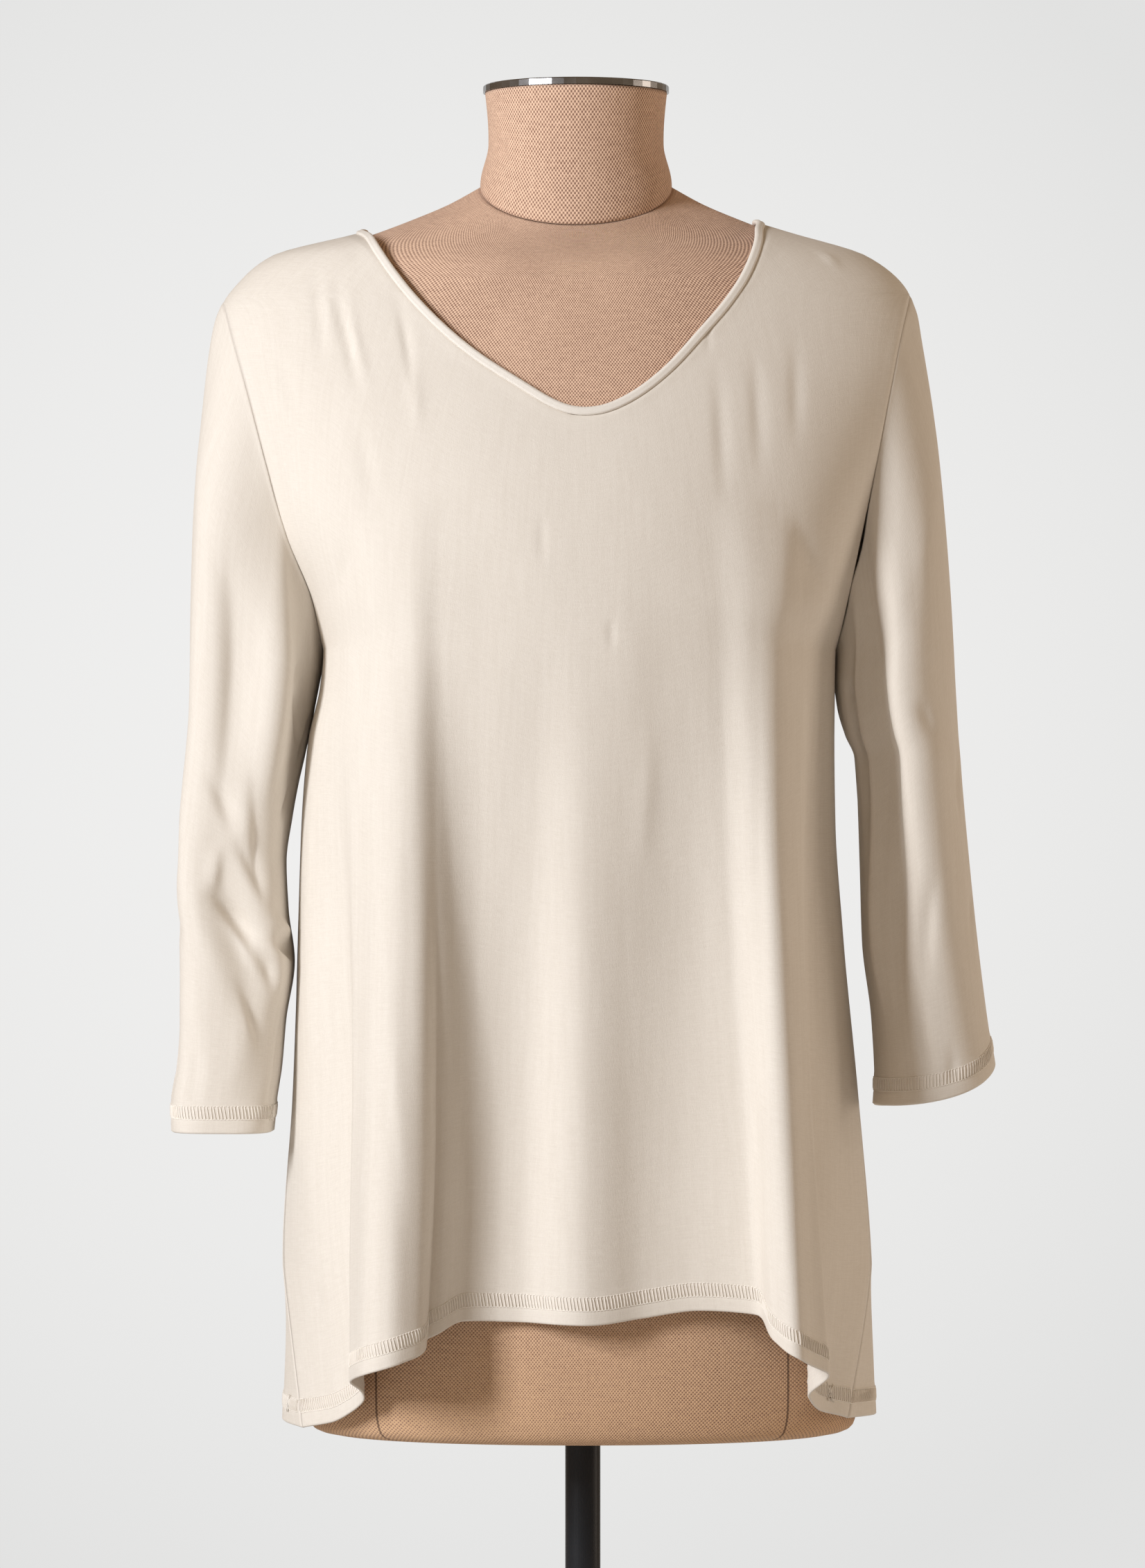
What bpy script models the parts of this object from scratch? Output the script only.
"""A three-quarter-sleeve V-neck jersey top, worn on a dress form on a pole.

The origin is on the floor under the pole. +Z is up, -Y is the front of the garment, and +X is the
picture's right. "Left" and "right" below are the picture's. Every length is in metres.

The cloth is a wall through horizontal rings. RINGS gives the smooth body, each row of FOLDS draws
one line of the cloth out or in on its way down to the hem, and SLEEVES gives the hanging sleeves.
"""

from collections import namedtuple
from math import atan2, copysign, cos, pi, radians, sin, sqrt

import bmesh
import bpy
import numpy as np
from mathutils import Vector

# ---------------------------------------------------------------- driving sizes

CLOTH_WALL = 0.0013          # jersey, drawn a little thicker than the real knit
SEAM_GAP = 0.0003            # between two sewn pieces, and between pieces that rest on each other
UNDERARM_HEIGHT = 1.162
BINDING_WIDTH = 0.0052       # rolled band round the neck, across the cloth
BINDING_DEPTH = 0.0034       # and through it

FORM_BASE_HEIGHT = 0.700     # underside of the dress form's torso
NECK_TOP_HEIGHT = 1.4915
NECK_CENTRE_X = -0.002
NECK_SET_BACK = 0.0012       # the neck's top is this much narrower than the ring
NECK_WAIST = 0.0020          # and it is this much narrower half way up
RING_OUTER_RADIUS = 0.0550
RING_INNER_RADIUS = 0.0505
RING_HEIGHT = 0.0040
RING_LIP = 0.0006            # bevel along the ring's top edges

POLE_RADIUS = 0.0104
POLE_X = 0.002
SOCKET_DEPTH = 0.060         # how far the pole goes up into the torso
SOCKET_CLEARANCE = 0.0003
BASE_PLATE_RADIUS = 0.170
BASE_PLATE_HEIGHT = 0.008

# ---------------------------------------------------------------- tables

Ring = namedtuple("Ring", "height left right front back square")

# The cloth's body as smooth rings: half widths to each side, depths, and how square the ring is.
RINGS = (
    Ring(0.690, 0.1752, 0.1752, 0.1120, 0.1300, 2.40),
    Ring(0.760, 0.1746, 0.1738, 0.1125, 0.1300, 2.40),
    Ring(0.805, 0.1752, 0.1722, 0.1130, 0.1300, 2.40),
    Ring(0.900, 0.1694, 0.1646, 0.1150, 0.1270, 2.40),
    Ring(1.000, 0.1660, 0.1552, 0.1180, 0.1210, 2.40),
    Ring(1.060, 0.1640, 0.1512, 0.1205, 0.1160, 2.45),
    Ring(1.110, 0.1599, 0.1505, 0.1235, 0.1120, 2.50),
    Ring(1.140, 0.1538, 0.1508, 0.1256, 0.1103, 2.50),
    Ring(1.162, 0.1522, 0.1513, 0.1270, 0.1090, 2.50),
    Ring(1.185, 0.1600, 0.1620, 0.1275, 0.1090, 2.50),
    Ring(1.210, 0.1750, 0.1725, 0.1265, 0.1100, 2.40),
    Ring(1.240, 0.1935, 0.1850, 0.1235, 0.1110, 2.30),
    Ring(1.270, 0.2060, 0.1955, 0.1165, 0.1115, 2.20),
    Ring(1.310, 0.2180, 0.2040, 0.1045, 0.1090, 2.10),
    Ring(1.338, 0.2205, 0.2055, 0.0935, 0.1030, 2.00),
    Ring(1.358, 0.2160, 0.2020, 0.0850, 0.0960, 2.00),
    Ring(1.368, 0.2105, 0.1972, 0.0805, 0.0928, 2.00),
    Ring(1.377, 0.2036, 0.1922, 0.0760, 0.0895, 2.00),
    Ring(1.395, 0.1820, 0.1697, 0.0670, 0.0838, 2.00),
    Ring(1.409, 0.1285, 0.1240, 0.0595, 0.0775, 2.00),
    Ring(1.416, 0.1040, 0.1010, 0.0560, 0.0745, 2.00),
)

Fold = namedtuple("Fold", "name angle x y hem start")

# One row for each line of the cloth that shows as a ridge or a valley. angle is where the line
# starts round the body (0 at the centre, 90 at a side seam), x and y are where it ends at the hem,
# hem is the height of the hem there, and start is the height at which it leaves the smooth ring.
FRONT_FOLDS = (
    Fold("left side seam", -90, -0.1620, -0.0400, 0.7065, 0.80),
    Fold("left side panel", -76, -0.1440, -0.0640, 0.7120, 1.00),
    Fold("left inner fold", -65, -0.1200, -0.0865, 0.7270, 1.18),
    Fold("left outer turn", -56, -0.1305, -0.1110, 0.7400, 1.20),
    Fold("left ridge", -48, -0.1165, -0.1355, 0.7470, 1.24),
    Fold("left ridge corner", -41, -0.0992, -0.1345, 0.7555, 1.25),
    Fold("left flank", -33, -0.0925, -0.1150, 0.7660, 1.24),
    Fold("left valley", -22, -0.0660, -0.1035, 0.7745, 1.22),
    Fold("inner left valley", -11, -0.0360, -0.1045, 0.7735, 1.20),
    Fold("centre ridge", 1, 0.0050, -0.1190, 0.7726, 1.15),
    Fold("centre slope", 11, 0.0380, -0.1130, 0.7760, 1.18),
    Fold("right valley", 21, 0.0690, -0.1045, 0.7800, 1.22),
    Fold("right flank", 32, 0.1010, -0.1070, 0.7780, 1.24),
    Fold("right ridge corner", 41, 0.1165, -0.1290, 0.7640, 1.25),
    Fold("right ridge", 48, 0.1265, -0.1395, 0.7545, 1.24),
    Fold("right outer turn", 56, 0.1440, -0.1200, 0.7455, 1.20),
    Fold("right inner fold", 65, 0.1345, -0.0930, 0.7290, 1.18),
    Fold("right side panel", 76, 0.1430, -0.0680, 0.7185, 1.00),
    Fold("right side seam", 90, 0.1565, -0.0460, 0.7127, 0.80),
)

BACK_FOLDS = (
    Fold("left side seam", -90, -0.1620, -0.0400, 0.7065, 0.80),
    Fold("left side edge", -79, -0.1756, 0.0120, 0.7058, 0.95),
    Fold("left back ridge", -64, -0.1690, 0.0700, 0.7050, 1.10),
    Fold("left back valley", -50, -0.1320, 0.0900, 0.7040, 1.15),
    Fold("left blade ridge", -37, -0.1010, 0.1330, 0.7030, 1.20),
    Fold("left blade flank", -24, -0.0620, 0.1280, 0.7020, 1.20),
    Fold("left centre valley", -13, -0.0340, 0.1235, 0.7010, 1.15),
    Fold("centre back ridge", 0, 0.0020, 0.1380, 0.7005, 1.15),
    Fold("right centre valley", 14, 0.0400, 0.1225, 0.7010, 1.15),
    Fold("right blade flank", 26, 0.0700, 0.1270, 0.7020, 1.20),
    Fold("right blade ridge", 38, 0.1060, 0.1310, 0.7035, 1.20),
    Fold("right back valley", 51, 0.1330, 0.0910, 0.7055, 1.15),
    Fold("right back ridge", 65, 0.1670, 0.0660, 0.7075, 1.10),
    Fold("right side edge", 79, 0.1756, 0.0080, 0.7100, 0.95),
    Fold("right side seam", 90, 0.1565, -0.0460, 0.7127, 0.80),
)

NeckPoint = namedtuple("NeckPoint", "x height")

# The cut edge of the neck, which the binding is sewn to, from the left shoulder to the right.
FRONT_NECK = (
    NeckPoint(-0.1285, 1.4090),
    NeckPoint(-0.1192, 1.3928),
    NeckPoint(-0.1048, 1.3720),
    NeckPoint(-0.0841, 1.3489),
    NeckPoint(-0.0620, 1.3297),
    NeckPoint(-0.0333, 1.3107),
    NeckPoint(-0.0132, 1.2987),
    NeckPoint(-0.0005, 1.2950),
    NeckPoint(0.0104, 1.2956),
    NeckPoint(0.0271, 1.3020),
    NeckPoint(0.0508, 1.3194),
    NeckPoint(0.0712, 1.3420),
    NeckPoint(0.0901, 1.3649),
    NeckPoint(0.1025, 1.3873),
    NeckPoint(0.1072, 1.4047),
    NeckPoint(0.1060, 1.4144),
)

BACK_NECK = (
    NeckPoint(-0.1285, 1.4090),
    NeckPoint(-0.1080, 1.3985),
    NeckPoint(-0.0800, 1.3895),
    NeckPoint(-0.0400, 1.3835),
    NeckPoint(0.0000, 1.3815),
    NeckPoint(0.0400, 1.3835),
    NeckPoint(0.0750, 1.3900),
    NeckPoint(0.0960, 1.4000),
    NeckPoint(0.1060, 1.4144),
)

Armhole = namedtuple("Armhole", "share left right")

# The armhole seam: share of the way up from the underarm to the shoulder tip, and x on each side.
ARMHOLE = (
    Armhole(0.00, 0.1512, 0.1513),
    Armhole(0.13, 0.1560, 0.1570),
    Armhole(0.33, 0.1720, 0.1655),
    Armhole(0.52, 0.1827, 0.1737),
    Armhole(0.75, 0.1955, 0.1830),
    Armhole(0.88, 0.2035, 0.1888),
    Armhole(1.00, 0.2105, 0.1953),
)
ARMHOLE_REACH = 0.052        # how far the seam stands in front of and behind the shoulder
SHOULDER_TIP = {"left": 1.368, "right": 1.372}

Sleeve = namedtuple("Sleeve", "height outer inner front back")

# Each sleeve as level ovals: x of its outer and inner sides, and y of its front and back.
SLEEVES = {
    "left": (
        Sleeve(1.368, 0.2105, 0.1500, 0.0500, 0.0500),
        Sleeve(1.358, 0.2152, 0.1495, 0.0520, 0.0520),
        Sleeve(1.338, 0.2191, 0.1490, 0.0550, 0.0550),
        Sleeve(1.287, 0.2244, 0.1490, 0.0590, 0.0600),
        Sleeve(1.231, 0.2281, 0.1495, 0.0600, 0.0620),
        Sleeve(1.162, 0.2297, 0.1520, 0.0590, 0.0610),
        Sleeve(1.129, 0.2300, 0.1572, 0.0580, 0.0600),
        Sleeve(1.100, 0.2312, 0.1628, 0.0568, 0.0587),
        Sleeve(1.083, 0.2319, 0.1666, 0.0560, 0.0575),
        Sleeve(1.063, 0.2330, 0.1702, 0.0547, 0.0564),
        Sleeve(1.037, 0.2346, 0.1736, 0.0530, 0.0550),
        Sleeve(1.009, 0.2355, 0.1724, 0.0520, 0.0535),
        Sleeve(0.978, 0.2355, 0.1688, 0.0515, 0.0520),
        Sleeve(0.944, 0.2358, 0.1738, 0.0490, 0.0500),
        Sleeve(0.915, 0.2378, 0.1764, 0.0465, 0.0473),
        Sleeve(0.900, 0.2408, 0.1788, 0.0455, 0.0460),
        Sleeve(0.872, 0.2404, 0.1820, 0.0445, 0.0450),
    ),
    "right": (
        Sleeve(1.372, 0.1953, 0.1500, 0.0490, 0.0490),
        Sleeve(1.360, 0.2000, 0.1490, 0.0510, 0.0520),
        Sleeve(1.347, 0.2022, 0.1480, 0.0530, 0.0540),
        Sleeve(1.306, 0.2088, 0.1480, 0.0570, 0.0590),
        Sleeve(1.269, 0.2133, 0.1490, 0.0590, 0.0610),
        Sleeve(1.194, 0.2195, 0.1510, 0.0600, 0.0620),
        Sleeve(1.162, 0.2213, 0.1530, 0.0595, 0.0615),
        Sleeve(1.145, 0.2221, 0.1525, 0.0590, 0.0610),
        Sleeve(1.129, 0.2230, 0.1538, 0.0585, 0.0605),
        Sleeve(1.112, 0.2240, 0.1582, 0.0577, 0.0597),
        Sleeve(1.099, 0.2251, 0.1636, 0.0570, 0.0590),
        Sleeve(1.083, 0.2263, 0.1645, 0.0560, 0.0580),
        Sleeve(1.037, 0.2305, 0.1661, 0.0535, 0.0555),
        Sleeve(0.990, 0.2354, 0.1675, 0.0510, 0.0530),
        Sleeve(0.944, 0.2412, 0.1730, 0.0485, 0.0500),
        Sleeve(0.907, 0.2466, 0.1748, 0.0460, 0.0475),
        Sleeve(0.880, 0.2475, 0.1728, 0.0450, 0.0465),
    ),
}
SLEEVE_SQUARE = 2.15
SLEEVE_SETTLE = 0.085        # length over which the sleeve's head turns into its hanging oval
SIDE_SETTLE = 0.060          # length over which the body leaves the underarm for its smooth ring
FOLD_GROWTH = 1.15           # folds grow with the distance from their start, to this power
NECKLINE_STEPS = 60
EDGE_SQUEEZE = 3             # how soon columns away from an armhole stop giving way to it

Cuff = namedtuple("Cuff", "outer inner curve back_drop")

# Height of the cuff's edge at its outer and inner sides, how late it climbs to the outer side (1 is
# straight), and how much lower the back of it is.
CUFFS = {
    "left": Cuff(0.8790, 0.8785, 1.0, 0.0000),
    "right": Cuff(0.9180, 0.8945, 2.6, 0.0040),
}

Crease = namedtuple("Crease", "name side angle height reach spread slant depth")

# The largest creases of the sleeves: angle round the sleeve (0 outer side, 90 front), the middle
# height, half the length, half the width in degrees, the angle it gains to its lower end, and how
# far the cloth goes in (negative) or out.
CREASES = (
    Crease("long front valley", "right", 128, 1.120, 0.170, 30, -14, -0.0095),
    Crease("long front ridge", "right", 84, 1.090, 0.200, 26, -8, 0.0040),
    Crease("long back valley", "right", 232, 1.100, 0.160, 30, 10, -0.0080),
    Crease("underarm pouch", "right", 160, 1.096, 0.040, 26, 0, 0.0015),
    Crease("elbow dent", "left", 98, 0.990, 0.075, 26, 26, -0.0070),
    Crease("elbow ridge", "left", 66, 1.020, 0.085, 22, 16, 0.0035),
    Crease("upper valley", "left", 130, 1.130, 0.110, 28, 8, -0.0075),
    Crease("cuff valley", "left", 118, 0.925, 0.055, 24, -10, -0.0035),
    Crease("back elbow dent", "left", 250, 1.010, 0.090, 30, -16, -0.0070),
    Crease("back long valley", "left", 215, 1.110, 0.120, 28, -8, -0.0060),
)

FormRing = namedtuple("FormRing", "height side front back square centre")

# The dress form: a general figure, always inside the cloth. centre is the x of its middle.
FORM_RINGS = (
    FormRing(0.7000, 0.1480, 0.0850, 0.0960, 2.1, 0.0015),
    FormRing(0.7020, 0.1570, 0.0920, 0.1030, 2.1, 0.0015),
    FormRing(0.7070, 0.1612, 0.0960, 0.1080, 2.1, 0.0015),
    FormRing(0.7200, 0.1630, 0.0980, 0.1105, 2.1, 0.0015),
    FormRing(0.7700, 0.1628, 0.0985, 0.1120, 2.1, 0.0012),
    FormRing(0.8150, 0.1610, 0.0985, 0.1125, 2.1, 0.0010),
    FormRing(0.8700, 0.1545, 0.0965, 0.1110, 2.1, 0.0005),
    FormRing(0.9300, 0.1375, 0.0910, 0.1000, 2.3, 0.0000),
    FormRing(0.9800, 0.1215, 0.0855, 0.0870, 2.3, 0.0000),
    FormRing(1.0150, 0.1155, 0.0840, 0.0820, 2.3, 0.0000),
    FormRing(1.0600, 0.1190, 0.0890, 0.0830, 2.3, -0.0005),
    FormRing(1.1100, 0.1290, 0.1040, 0.0890, 2.4, -0.0010),
    FormRing(1.1500, 0.1370, 0.1180, 0.0950, 2.5, -0.0010),
    FormRing(1.1850, 0.1415, 0.1240, 0.1000, 2.5, -0.0015),
    FormRing(1.2200, 0.1450, 0.1220, 0.1035, 2.4, -0.0015),
    FormRing(1.2600, 0.1500, 0.1150, 0.1060, 2.3, -0.0020),
    FormRing(1.3000, 0.1580, 0.1045, 0.1045, 2.2, -0.0020),
    FormRing(1.3350, 0.1670, 0.0915, 0.0995, 2.1, -0.0020),
    FormRing(1.3600, 0.1720, 0.0815, 0.0915, 2.0, -0.0020),
    FormRing(1.3780, 0.1700, 0.0730, 0.0830, 2.0, -0.0020),
)
NECK_SEAM_HEIGHT = 1.4360    # the seam between the form's neck and its torso, at its sides
NECK_SEAM_RADIUS = 0.0567
NECK_SEAM_DIP = 0.0270       # how much lower it is in front
NECK_SEAM_RISE = 0.0080      # and how much higher behind

Climb = namedtuple("Climb", "inward upward")

# How the form's shoulders rise from the last level ring to the neck seam, as shares of the way.
SHOULDER_CLIMB = (
    Climb(0.00, 0.00),
    Climb(0.10, 0.22),
    Climb(0.30, 0.420),
    Climb(0.50, 0.560),
    Climb(0.66, 0.680),
    Climb(0.83, 0.820),
    Climb(1.00, 1.00),
)

# How many rows and columns the walls are drawn with.
SEAM_ROWS = 15               # hem to underarm
ARM_ROWS = 10                # underarm to shoulder tip, and half of a sleeve's columns
SHOULDER_ROWS = 5            # shoulder tip to neck
SLEEVE_ROWS = 19
BETWEEN_FOLDS = 2            # columns from one fold line to the next
BINDING_SIDES = 6
PROBE = 0.0002               # step, in radians and in metres, for a surface's slope
FORM_COLUMNS = 32
ROUND_SEGMENTS = 48
SHARP_EDGE = 50              # degrees between two faces that make their edge a sharp one


# ---------------------------------------------------------------- curves and surfaces

class Smooth:
    """A smooth curve through rows of numbers, which doesn't swing past them."""

    def __init__(self, positions, values):
        self.at = np.array(positions, float)
        self.value = np.array(values, float)
        step = np.diff(self.at)
        rise = np.diff(self.value) / step
        slope = np.zeros_like(self.value)
        for i in range(1, len(slope) - 1):
            if rise[i - 1] * rise[i] > 0:
                before = 2 * step[i] + step[i - 1]
                after = step[i] + 2 * step[i - 1]
                slope[i] = (before + after) / (before / rise[i - 1] + after / rise[i])
        slope[0] = rise[0]
        slope[-1] = rise[-1]
        self.slope = slope

    def __call__(self, position):
        i = int(np.clip(np.searchsorted(self.at, position) - 1, 0, len(self.at) - 2))
        width = self.at[i + 1] - self.at[i]
        u = min(max((position - self.at[i]) / width, 0.0), 1.0)
        start = (1 + 2 * u) * (1 - u) ** 2 * self.value[i] + u * (1 - u) ** 2 * width * self.slope[i]
        end = (3 - 2 * u) * u ** 2 * self.value[i + 1] - u ** 2 * (1 - u) * width * self.slope[i + 1]
        return start + end


def columns(rows, key):
    """One Smooth curve for each named column of a table, along its key column."""
    ordered = sorted(rows, key=lambda row: getattr(row, key))
    places = [getattr(row, key) for row in ordered]
    names = [name for name in ordered[0]._fields if name not in (key, "name")]
    return {name: Smooth(places, [getattr(row, name) for row in ordered]) for name in names}


def ease(share):
    """0 to 1 with soft ends."""
    share = min(max(share, 0.0), 1.0)
    return share * share * (3 - 2 * share)


RING = columns(RINGS, "height")
FORM = columns(FORM_RINGS, "height")
ARM = columns(ARMHOLE, "share")
SLEEVE = {side: columns(rows, "height") for side, rows in SLEEVES.items()}


def superellipse(angle, half_width, depth, square):
    """Distance from the axis to a squared oval, in a direction measured from its depth axis."""
    across = abs(sin(angle)) / half_width
    along = abs(cos(angle)) / depth
    return (across ** square + along ** square) ** (-1 / square)


def ring_radius(angle, height, facing):
    """The smooth body's radius. facing is -1 for the front and +1 for the back."""
    half_width = RING["left"](height) if angle < 0 else RING["right"](height)
    depth = RING["front"](height) if facing < 0 else RING["back"](height)
    return superellipse(angle, half_width, depth, RING["square"](height))


def seam_height(side, share):
    """Height on the armhole seam, from the underarm (share 0) to the shoulder tip (share 1)."""
    return UNDERARM_HEIGHT + (SHOULDER_TIP[side] - UNDERARM_HEIGHT) * share


def armhole_point(side, share, facing):
    """A point of the armhole seam."""
    sign = -1 if side == "left" else 1
    reach = ARMHOLE_REACH * 2 * sqrt(max(share * (1 - share), 0.0))
    return np.array((sign * ARM[side](share), facing * reach, seam_height(side, share)))


def fold_offsets(folds, facing):
    """How far each fold line has left the smooth ring where it reaches the hem."""
    offsets = []
    for fold in folds:
        angle = radians(fold.angle)
        radius = ring_radius(angle, fold.hem, facing)
        smooth_x = radius * sin(angle)
        smooth_y = facing * radius * cos(angle)
        offsets.append((fold.x - smooth_x, fold.y - smooth_y))
    return offsets


def squeezed(across, edge_angle):
    """Real direction of a column beside an armhole: only columns near the edge give way."""
    share = abs(across) / (pi / 2)
    return across - copysign((pi / 2 - edge_angle) * share ** EDGE_SQUEEZE, across)


def neckline(points):
    """The neck's curve in fine steps, so that it stays smooth when it is laid on the rings."""
    walk = [0.0]
    for start, end in zip(points, points[1:]):
        walk.append(walk[-1] + sqrt((end.x - start.x) ** 2 + (end.height - start.height) ** 2))
    across = Smooth(walk, [point.x for point in points])
    height = Smooth(walk, [point.height for point in points])
    places = [walk[-1] * k / NECKLINE_STEPS for k in range(NECKLINE_STEPS + 1)]
    return [NeckPoint(across(place), height(place)) for place in places]


class Panel:
    """The front or the back: a wall between the hem, two side edges and the neck."""

    def __init__(self, folds, neck, facing):
        self.folds = folds
        self.facing = facing
        self.angles = [radians(fold.angle) for fold in folds]
        self.offsets = fold_offsets(folds, facing)
        self.folds_top = max(fold.start for fold in folds)
        self.hem = Smooth(self.angles, [fold.hem for fold in folds])
        line = neckline(neck)
        self.neck = Smooth([self.angle_of(point) for point in line], [point.height for point in line])

    def angle_of(self, point):
        """Direction from the axis of a neck point that lies on the smooth body."""
        half_width = RING["left" if point.x < 0 else "right"](point.height)
        depth = RING["front" if self.facing < 0 else "back"](point.height)
        square = RING["square"](point.height)
        share = min(abs(point.x) / half_width, 1.0)
        angle = atan2(point.x, depth * (1 - share ** square) ** (1 / square))
        edge_angle, _ = self.edge("left" if point.x < 0 else "right", point.height)
        across = angle
        for _ in range(40):
            across = angle + across - squeezed(across, edge_angle)
        return across

    def edge(self, side, height):
        """Angle of the panel's side edge, and how far the seam stands off the smooth ring."""
        tip = SHOULDER_TIP[side]
        if height >= tip:
            return pi / 2, 0.0
        share = (height - UNDERARM_HEIGHT) / (tip - UNDERARM_HEIGHT)
        seam = armhole_point(side, max(share, 0.0), self.facing)
        angle = atan2(abs(seam[0]), abs(seam[1]))
        sign = -1 if side == "left" else 1
        smooth = ring_radius(sign * angle, max(height, UNDERARM_HEIGHT), self.facing)
        fade = ease(1 - (UNDERARM_HEIGHT - height) / SIDE_SETTLE)
        return angle, (sqrt(seam[0] ** 2 + seam[1] ** 2) - smooth) * fade

    def point(self, across, height):
        """The cloth's outer surface. across is the column's angle, 90 degrees at a side edge."""
        side = "left" if across < 0 else "right"
        edge_angle, stand_off = self.edge(side, height)
        share = abs(across) / (pi / 2)
        angle = squeezed(across, edge_angle)
        radius = ring_radius(angle, height, self.facing)
        radius += stand_off * ease((share - 0.6) / 0.4)
        x = radius * sin(angle)
        y = self.facing * radius * cos(angle)
        weights_x = []
        weights_y = []
        for fold, (move_x, move_y) in zip(self.folds, self.offsets):
            fall = max(fold.start - height, 0.0) / (fold.start - fold.hem)
            weight = min(fall, 1.0) ** FOLD_GROWTH
            weights_x.append(move_x * weight)
            weights_y.append(move_y * weight)
        if height < self.folds_top:
            x += Smooth(self.angles, weights_x)(angle)
            y += Smooth(self.angles, weights_y)(angle)
        return np.array((x, y, height))

    def column_angles(self):
        """Columns on the fold lines, with the same number between each two."""
        angles = []
        for start, end in zip(self.angles, self.angles[1:]):
            for k in range(BETWEEN_FOLDS):
                angles.append(start + (end - start) * k / BETWEEN_FOLDS)
        return angles + [self.angles[-1]]

    def edge_shares(self, side):
        """Rows as shares of the height from the hem to the neck, with rows on the armhole's ends."""
        low = self.hem(self.angles[0 if side == "left" else -1])
        high = self.neck(self.neck.at[0 if side == "left" else -1])
        tip = SHOULDER_TIP[side]
        heights = [low + (UNDERARM_HEIGHT - low) * i / SEAM_ROWS for i in range(SEAM_ROWS)]
        heights += [seam_height(side, arm_share(i)) for i in range(ARM_ROWS)]
        heights += [tip + (high - tip) * i / SHOULDER_ROWS for i in range(SHOULDER_ROWS + 1)]
        return [(height - low) / (high - low) for height in heights]

    def places(self):
        """Rows of (angle, height) from the hem up, each from the left edge to the right."""
        rows = []
        for left_share, right_share in zip(self.edge_shares("left"), self.edge_shares("right")):
            row = []
            for angle in self.column_angles():
                mix = (angle / (pi / 2) + 1) / 2
                share = left_share + (right_share - left_share) * mix
                low = self.hem(angle)
                high = self.neck(angle)
                row.append((angle, low + (high - low) * share))
            rows.append(row)
        return rows

    def normal(self, angle, height):
        """Outward normal of the surface."""
        along = self.point(min(angle + PROBE, pi / 2), height)
        along -= self.point(max(angle - PROBE, -pi / 2), height)
        up = self.point(angle, height + PROBE) - self.point(angle, height - PROBE)
        cross = np.cross(along, up) * -self.facing
        return cross / np.linalg.norm(cross)

    def skins(self):
        """Outer and inner points of the wall. The rims at the armholes lean as the sleeves' do."""
        places = self.places()
        outer = np.array([[self.point(*place) for place in row] for row in places])
        inward = np.array([[-self.normal(*place) for place in row] for row in places])
        for row in range(SEAM_ROWS, SEAM_ROWS + ARM_ROWS + 1):
            share = arm_share(row - SEAM_ROWS)
            for side, edge in (("left", 0), ("right", -1)):
                inward[row, edge] = rim_direction(side, share, self.facing, inward[row, edge])
        for edge, beside in ((0, 1), (-1, -2)):
            step = outer[:, beside] - outer[:, edge]
            length = np.linalg.norm(step, axis=1, keepdims=True)
            outer[:, edge] += step / length * SEAM_GAP / 2
        return outer, outer + inward * CLOTH_WALL


def rim_direction(side, share, facing, inward):
    """Which way the wall's rim points at an armhole: the same for both pieces but low down."""
    turn = 2 * sqrt(max(share * (1 - share), 0.0))
    towards_body = 0.25 + 0.75 * max(2 * share - 1, 0.0)
    sign = 1 if side == "left" else -1
    middle = np.array((sign * towards_body, -facing * turn, 1 - 2 * share))
    middle /= np.linalg.norm(middle)
    mixed = inward + (middle - inward) * ease((share - 0.2) / 0.35)
    return mixed / np.linalg.norm(mixed)


def arm_share(i):
    """Row i of the armhole, closer together near its two ends."""
    return (1 - cos(pi * i / ARM_ROWS)) / 2


# ---------------------------------------------------------------- walls

def tube_normals(grid):
    """Outward unit normals of a tube whose rows go up and whose columns turn anticlockwise."""
    along = np.roll(grid, -1, axis=1) - np.roll(grid, 1, axis=1)
    up = np.gradient(grid, axis=0)
    cross = np.cross(along, up)
    return cross / np.linalg.norm(cross, axis=2, keepdims=True)


def wall_mesh(name, outer, inner, closed):
    """One closed body between an outer and an inner grid."""
    rows, count = outer.shape[:2]
    mesh = bmesh.new()
    skins = []
    for grid in (outer, inner):
        skins.append([[mesh.verts.new(point) for point in row] for row in grid])
    outside, inside = skins
    last = count if closed else count - 1
    for i in range(rows - 1):
        for j in range(last):
            k = (j + 1) % count
            mesh.faces.new((outside[i][j], outside[i][k], outside[i + 1][k], outside[i + 1][j]))
            mesh.faces.new((inside[i][j], inside[i + 1][j], inside[i + 1][k], inside[i][k]))
    for j in range(last):
        k = (j + 1) % count
        mesh.faces.new((outside[0][k], outside[0][j], inside[0][j], inside[0][k]))
        mesh.faces.new((outside[-1][j], outside[-1][k], inside[-1][k], inside[-1][j]))
    if not closed:
        for i in range(rows - 1):
            mesh.faces.new((outside[i][0], outside[i + 1][0], inside[i + 1][0], inside[i][0]))
            mesh.faces.new((outside[i + 1][-1], outside[i][-1], inside[i][-1], inside[i + 1][-1]))
    return finish(name, mesh)


def finish(name, mesh):
    """Make the object of a bmesh, with smooth sides and sharp rims."""
    data = bpy.data.meshes.new(name)
    mesh.to_mesh(data)
    mesh.free()
    data.shade_smooth()
    data.set_sharp_from_angle(angle=radians(SHARP_EDGE))
    thing = bpy.data.objects.new(name, data)
    COLLECTION.objects.link(thing)
    thing.data.materials.append(MATERIALS[name])
    return thing


def add_panel(name, panel):
    """The front or the back as a wall."""
    outer, inner = panel.skins()
    if panel.facing > 0:
        outer = outer[:, ::-1]
        inner = inner[:, ::-1]
    return wall_mesh(name, outer, inner, False)


# ---------------------------------------------------------------- sleeves

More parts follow.
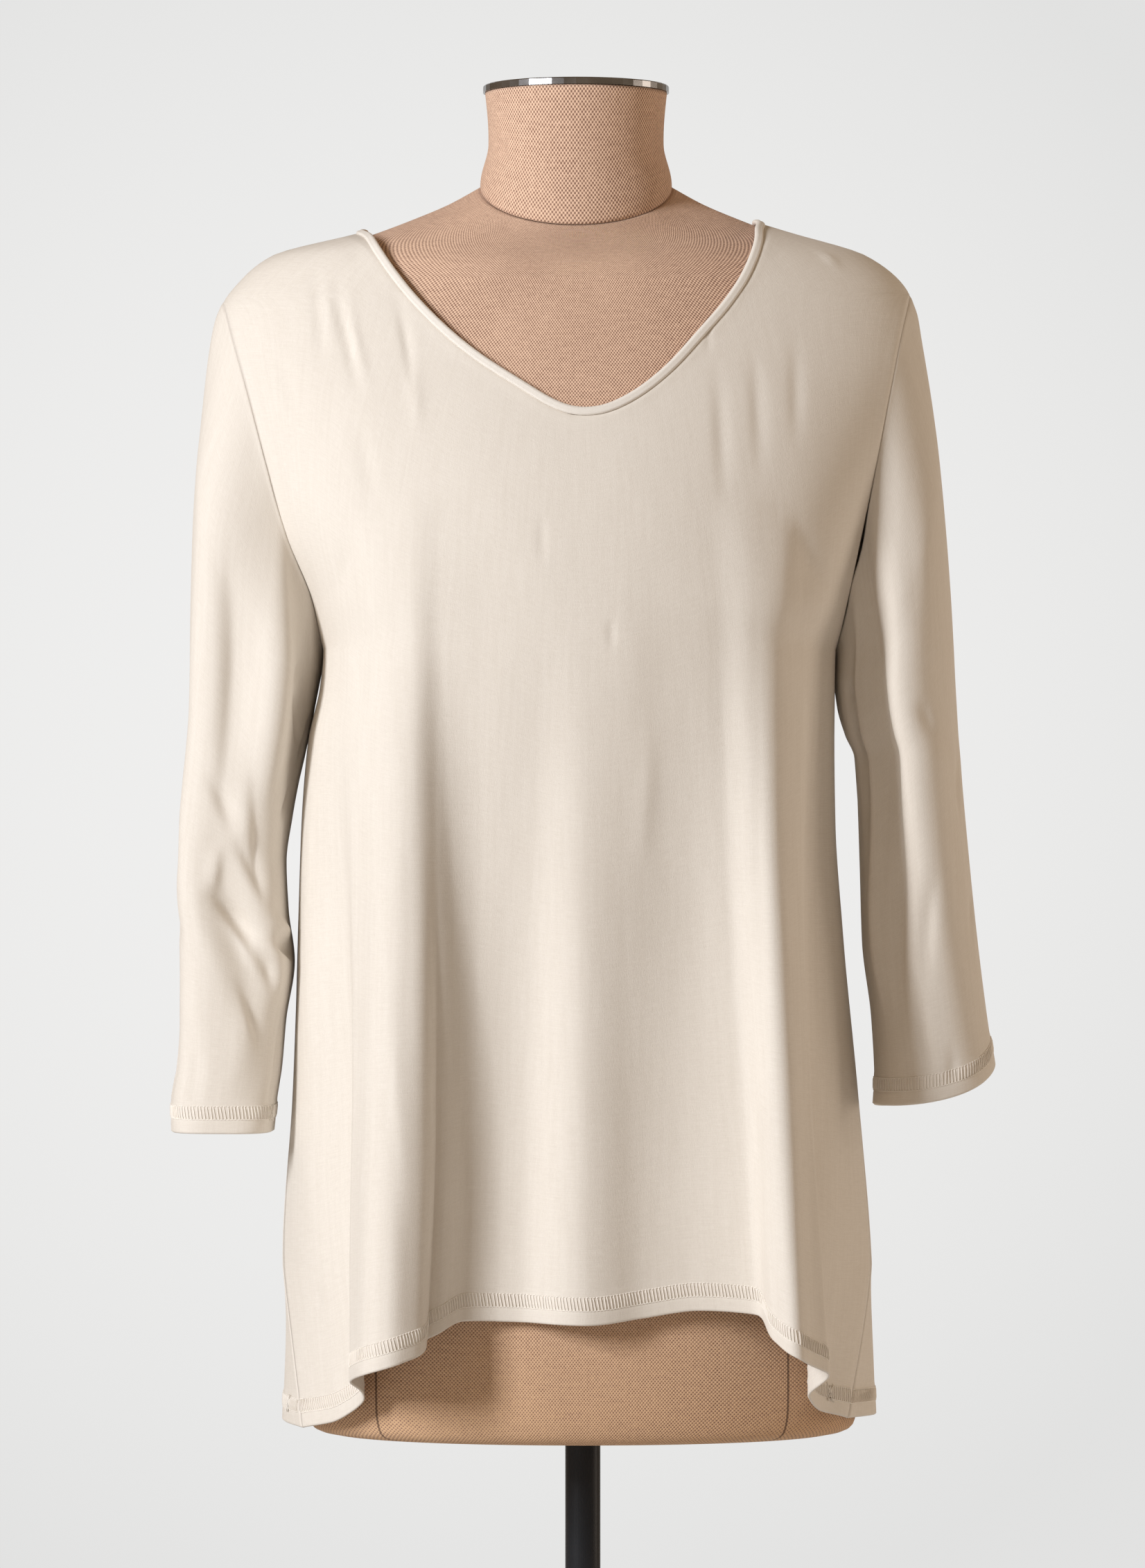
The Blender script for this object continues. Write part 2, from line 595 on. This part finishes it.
def sleeve_point(side, turn, height):
    """A point of the hanging oval. turn is 0 at its outer side and goes round by the front."""
    sign = -1 if side == "left" else 1
    row = SLEEVE[side]
    outer = row["outer"](height)
    inner = row["inner"](height)
    depth = row["front"](height) if sin(turn) > 0 else row["back"](height)
    half = (outer - inner) / 2
    angle = turn - pi / 2
    radius = superellipse(angle, half, depth, SLEEVE_SQUARE)
    x = (outer + inner) / 2 - radius * sin(angle)
    y = -radius * cos(angle)
    for crease in CREASES:
        if crease.side == side:
            push = crease_depth(crease, turn, height)
            x += push * cos(turn)
            y -= push * sin(turn)
    return np.array((sign * x, y, height))


def crease_depth(crease, turn, height):
    """How far a crease moves the cloth at one point."""
    along = (crease.height - height) / crease.reach
    if abs(along) >= 1:
        return 0.0
    middle = radians(crease.angle + crease.slant * along)
    off = (turn - middle + pi) % (2 * pi) - pi
    across = off / radians(crease.spread)
    if abs(across) >= 1:
        return 0.0
    return crease.depth * cos(across * pi / 2) ** 2 * cos(along * pi / 2) ** 2


def sleeve_turns():
    """Columns of a sleeve, one for each row of the armhole, in front and behind."""
    turns = []
    for i in range(ARM_ROWS):
        turns.append(pi * i / ARM_ROWS)
    for i in range(ARM_ROWS):
        turns.append(pi + pi * i / ARM_ROWS)
    return turns


def sleeve_grid(side):
    """Rows from the cuff up to the armhole, columns from the outer side round by the front."""
    sign = -1 if side == "left" else 1
    cuff = CUFFS[side]
    lines = []
    for turn in sleeve_turns():
        share = (1 + cos(turn)) / 2
        facing = -1 if turn < pi else 1
        top = armhole_point(side, share, facing)
        top[0] += sign * SEAM_GAP
        low = cuff.inner + (cuff.outer - cuff.inner) * share ** cuff.curve
        low -= cuff.back_drop * max(-sin(turn), 0.0)
        offset = top - sleeve_point(side, turn, top[2])
        line = []
        for i in range(SLEEVE_ROWS + 1):
            height = low + (top[2] - low) * i / SLEEVE_ROWS
            fade = ease(1 - (top[2] - height) / SLEEVE_SETTLE)
            line.append(sleeve_point(side, turn, height) + offset * fade)
        lines.append(line)
    return np.array(lines).transpose(1, 0, 2)


def add_sleeve(side):
    """One sleeve as a wall, open at the armhole and at the cuff."""
    outer = sleeve_grid(side)
    if side == "right":
        outer = outer[:, ::-1]
    inward = -tube_normals(outer)
    for k, turn in enumerate(sleeve_turns()):
        column = k if side == "left" else 2 * ARM_ROWS - 1 - k
        facing = -1 if turn < pi else 1
        inward[-1, column] = rim_direction(side, (1 + cos(turn)) / 2, facing, inward[-1, column])
    return wall_mesh("sleeve_" + side, outer, outer + inward * CLOTH_WALL, True)


# ---------------------------------------------------------------- neck binding

def add_binding(panels):
    """The rolled band: an oval tube beside the neck edge of the two panels."""
    loop = []
    outward = []
    for panel in panels:
        edge = panel.places()[-1][::-panel.facing][:-1]
        loop += [panel.point(*place) for place in edge]
        outward += [panel.normal(*place) for place in edge]
    loop = np.array(loop)
    outward = np.array(outward)
    along = np.roll(loop, -1, axis=0) - np.roll(loop, 1, axis=0)
    along /= np.linalg.norm(along, axis=1, keepdims=True)
    away = np.cross(outward, along)
    away /= np.linalg.norm(away, axis=1, keepdims=True)
    centre = loop + away * (BINDING_WIDTH / 2 + SEAM_GAP) + outward * (BINDING_DEPTH / 2 - CLOTH_WALL)
    mesh = bmesh.new()
    rings = []
    for point, side, out in zip(centre, away, outward):
        ring = []
        for k in range(BINDING_SIDES):
            turn = 2 * pi * k / BINDING_SIDES
            place = point + side * cos(turn) * BINDING_WIDTH / 2 + out * sin(turn) * BINDING_DEPTH / 2
            ring.append(mesh.verts.new(place))
        rings.append(ring)
    for ring, following in zip(rings, rings[1:] + rings[:1]):
        for k in range(BINDING_SIDES):
            m = (k + 1) % BINDING_SIDES
            mesh.faces.new((ring[k], ring[m], following[m], following[k]))
    return finish("neck_binding", mesh)


# ---------------------------------------------------------------- dress form

def form_point(angle, height):
    """The form's surface; angle is 0 in front and grows towards +X."""
    depth = FORM["front"](height) if cos(angle) > 0 else FORM["back"](height)
    radius = superellipse(angle, FORM["side"](height), depth, FORM["square"](height))
    return np.array((FORM["centre"](height) + radius * sin(angle), -radius * cos(angle), height))


def neck_seam_point(angle):
    """A point of the seam between the form's neck and its torso."""
    tilt = NECK_SEAM_DIP if cos(angle) > 0 else NECK_SEAM_RISE
    height = NECK_SEAM_HEIGHT - tilt * cos(angle)
    x = NECK_CENTRE_X + NECK_SEAM_RADIUS * sin(angle)
    return np.array((x, -NECK_SEAM_RADIUS * cos(angle), height))


def form_angles():
    return [2 * pi * k / FORM_COLUMNS for k in range(FORM_COLUMNS)]


def loft(mesh, rings):
    """Join level rings of points into one closed body, its ends closed by fans."""
    loops = [[mesh.verts.new(point) for point in ring] for ring in rings]
    for low, high in zip(loops, loops[1:]):
        for k in range(len(low)):
            m = (k + 1) % len(low)
            mesh.faces.new((low[k], low[m], high[m], high[k]))
    for ring, order in ((loops[0], -1), (loops[-1], 1)):
        centre = sum((vert.co for vert in ring), Vector()) / len(ring)
        middle = mesh.verts.new(centre)
        for k in range(len(ring)):
            pair = (ring[k], ring[(k + 1) % len(ring)])
            mesh.faces.new((pair[0], pair[1], middle) if order > 0 else (pair[1], pair[0], middle))


def add_torso():
    """The torso, cut off by the neck seam, with a socket for the pole in its flat underside."""
    levels = [row.height for row in FORM_RINGS]
    rings = [[form_point(angle, height) for angle in form_angles()] for height in levels]
    for climb in SHOULDER_CLIMB[1:]:
        ring = []
        for low, angle in zip(rings[len(levels) - 1], form_angles()):
            top = neck_seam_point(angle)
            point = low + (top - low) * climb.inward
            point[2] = low[2] + (top[2] - low[2]) * climb.upward
            ring.append(point)
        rings.append(ring)
    mesh = bmesh.new()
    loft(mesh, rings)
    torso = finish("form_torso", mesh)
    bore = add_cylinder("socket_cutter", POLE_RADIUS + SOCKET_CLEARANCE,
                        FORM_BASE_HEIGHT - SOCKET_DEPTH, FORM_BASE_HEIGHT + SOCKET_DEPTH, POLE_X)
    bore.hide_render = True
    bore.display_type = "WIRE"
    CUTTERS.objects.link(bore)
    COLLECTION.objects.unlink(bore)
    cut = torso.modifiers.new("pole socket", "BOOLEAN")
    cut.operation = "DIFFERENCE"
    cut.object = bore
    return torso


def add_neck():
    """The neck: it starts on the torso's seam and becomes round."""
    rings = []
    for share in (0.0, 0.10, 0.22, 0.45, 0.72, 1.0):
        ring = []
        for angle in form_angles():
            low = neck_seam_point(angle)
            low[2] += SEAM_GAP
            radius = RING_OUTER_RADIUS - NECK_SET_BACK - NECK_WAIST * sin(pi * share)
            round_x = NECK_CENTRE_X + radius * sin(angle)
            round_y = -radius * cos(angle)
            blend = ease(share / 0.45)
            x = low[0] + (round_x - low[0]) * blend
            y = low[1] + (round_y - low[1]) * blend
            ring.append((x, y, low[2] + (NECK_TOP_HEIGHT - low[2]) * share))
        rings.append(ring)
    mesh = bmesh.new()
    loft(mesh, rings)
    return finish("form_neck", mesh)


def add_cylinder(name, radius, low, high, x=0.0):
    """An upright cylinder between two heights."""
    mesh = bmesh.new()
    bmesh.ops.create_cone(mesh, cap_ends=True, segments=ROUND_SEGMENTS, radius1=radius,
                          radius2=radius, depth=high - low)
    for vert in mesh.verts:
        vert.co += Vector((x, 0.0, (low + high) / 2))
    return finish(name, mesh)


def add_neck_ring():
    """The steel ring that closes the top of the neck, turned from its section."""
    low = NECK_TOP_HEIGHT + SEAM_GAP
    section = (
        (RING_OUTER_RADIUS, low + RING_HEIGHT - RING_LIP),
        (RING_OUTER_RADIUS, low),
        (RING_INNER_RADIUS, low),
        (RING_INNER_RADIUS, low + RING_HEIGHT - RING_LIP),
        (RING_INNER_RADIUS + RING_LIP, low + RING_HEIGHT),
        (RING_OUTER_RADIUS - RING_LIP, low + RING_HEIGHT),
    )
    mesh = bmesh.new()
    points = [mesh.verts.new((radius, 0.0, height)) for radius, height in section]
    for k in range(len(points)):
        mesh.edges.new((points[k], points[(k + 1) % len(points)]))
    ring = finish("neck_ring", mesh)
    ring.location.x = NECK_CENTRE_X
    turned = ring.modifiers.new("turned", "SCREW")
    turned.steps = ROUND_SEGMENTS
    turned.render_steps = ROUND_SEGMENTS
    turned.use_merge_vertices = True
    turned.merge_threshold = 0.00001
    return ring


def main():
    for thing in list(bpy.data.objects):
        bpy.data.objects.remove(thing)
    bpy.context.scene.collection.children.link(COLLECTION)
    bpy.context.scene.collection.children.link(CUTTERS)
    for name, (colour, roughness, metallic) in FINISHES.items():
        material = bpy.data.materials.new(name)
        material.use_nodes = True
        shader = material.node_tree.nodes["Principled BSDF"]
        shader.inputs["Base Color"].default_value = (*colour, 1.0)
        shader.inputs["Roughness"].default_value = roughness
        shader.inputs["Metallic"].default_value = metallic
        MATERIALS[name] = material
    front = Panel(FRONT_FOLDS, FRONT_NECK, -1)
    back = Panel(BACK_FOLDS, BACK_NECK, 1)
    add_panel("front", front)
    add_panel("back", back)
    add_sleeve("left")
    add_sleeve("right")
    add_binding((front, back))
    add_torso()
    add_neck()
    add_neck_ring()
    cap_low = NECK_TOP_HEIGHT + SEAM_GAP
    add_cylinder("neck_cap", RING_INNER_RADIUS - SEAM_GAP, cap_low, cap_low + RING_HEIGHT * 0.6,
                 NECK_CENTRE_X)
    plate_top = BASE_PLATE_HEIGHT + SEAM_GAP
    pole_top = FORM_BASE_HEIGHT + SOCKET_DEPTH - SEAM_GAP
    add_cylinder("pole", POLE_RADIUS, plate_top, pole_top, POLE_X)
    add_cylinder("base_plate", BASE_PLATE_RADIUS, 0.0, BASE_PLATE_HEIGHT)


COLLECTION = bpy.data.collections.new("top on a dress form")
CUTTERS = bpy.data.collections.new("cutters")
MATERIALS = {}
JERSEY = (0.74, 0.67, 0.58)
LINEN = (0.47, 0.32, 0.22)
BLACK = (0.02, 0.021, 0.023)
FINISHES = {
    "front": (JERSEY, 0.75, 0.0),
    "back": (JERSEY, 0.75, 0.0),
    "sleeve_left": (JERSEY, 0.75, 0.0),
    "sleeve_right": (JERSEY, 0.75, 0.0),
    "neck_binding": (JERSEY, 0.75, 0.0),
    "form_torso": (LINEN, 0.85, 0.0),
    "form_neck": (LINEN, 0.85, 0.0),
    "neck_ring": ((0.35, 0.35, 0.36), 0.25, 1.0),
    "neck_cap": ((0.10, 0.09, 0.08), 0.6, 0.0),
    "pole": (BLACK, 0.35, 0.0),
    "base_plate": (BLACK, 0.45, 0.0),
    "socket_cutter": (BLACK, 0.5, 0.0),
}

main()
